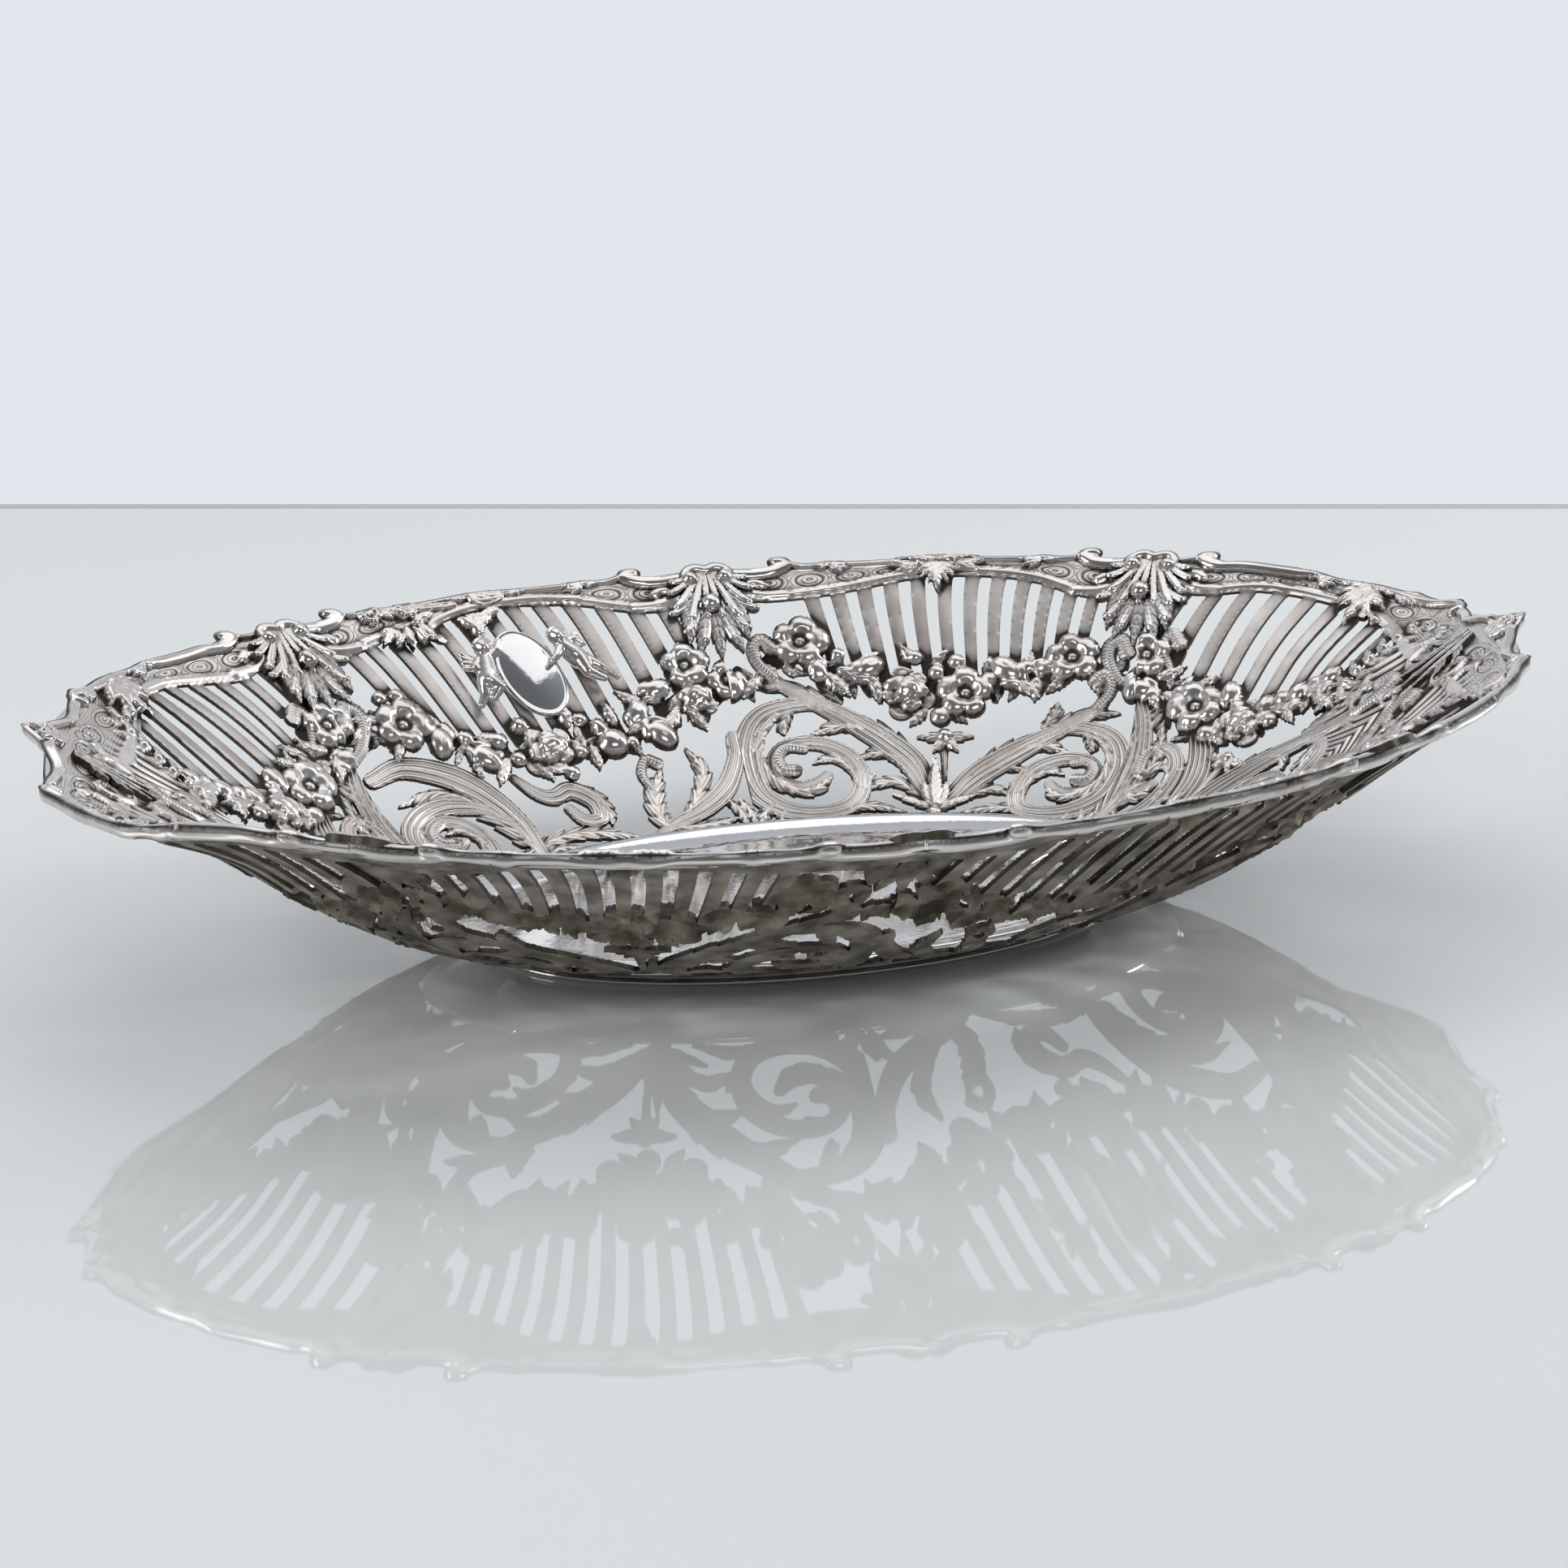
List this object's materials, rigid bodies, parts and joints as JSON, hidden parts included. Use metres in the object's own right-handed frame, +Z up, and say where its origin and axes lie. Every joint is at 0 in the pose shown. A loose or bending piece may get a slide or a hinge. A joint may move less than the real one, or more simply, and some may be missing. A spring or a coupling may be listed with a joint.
{
  "type": "pierced bowl",
  "caption": "Low oval pierced silver bowl with slatted bays, flower garlands, leaf scrolls, plain medallions held by cherubs, a cast scroll border and a low oval foot.",
  "frame": {"origin": "on the table under the middle of the foot", "axes": "+X along the bowl towards its right tip, +Y across it, +Z up"},
  "size_m": [0.3018, 0.1896, 0.0549],
  "materials": {
    "chased_silver": "chased and pierced silver sheet, dark in the recesses, faint warm tarnish",
    "cast_silver": "cast silver with bright worn crests and oxidised hollows",
    "polished_silver": "plain polished silver with fine hairline scratches",
    "foot_silver": "plain silver foot, brownish tarnish towards the sheet"
  },
  "bodies": {
    "root": {"well": "polished_silver", "foot_ring": "foot_silver", "foot_wire": "polished_silver", "side_wall_back_right": "chased_silver", "end_wall_back_right": "chased_silver", "side_border_back_right": "cast_silver", "end_border_back_right": "cast_silver", "corner_drop_back_right": "cast_silver", "side_wall_back_left": "chased_silver", "end_wall_back_left": "chased_silver", "side_border_back_left": "cast_silver", "end_border_back_left": "cast_silver", "corner_drop_back_left": "cast_silver", "side_wall_front_left": "chased_silver", "end_wall_front_left": "chased_silver", "side_border_front_left": "cast_silver", "end_border_front_left": "cast_silver", "corner_drop_front_left": "cast_silver", "side_wall_front_right": "chased_silver", "end_wall_front_right": "chased_silver", "side_border_front_right": "cast_silver", "end_border_front_right": "cast_silver", "corner_drop_front_right": "cast_silver", "side_drop_back": "cast_silver", "side_drop_front": "cast_silver", "tip_drop_right": "cast_silver", "tip_drop_left": "cast_silver", "medallion_back_left": "polished_silver", "putto_inner_back_left": "cast_silver", "putto_outer_back_left": "cast_silver", "medallion_front_right": "polished_silver", "putto_inner_front_right": "cast_silver", "putto_outer_front_right": "cast_silver"}
  },
  "joints": []
}
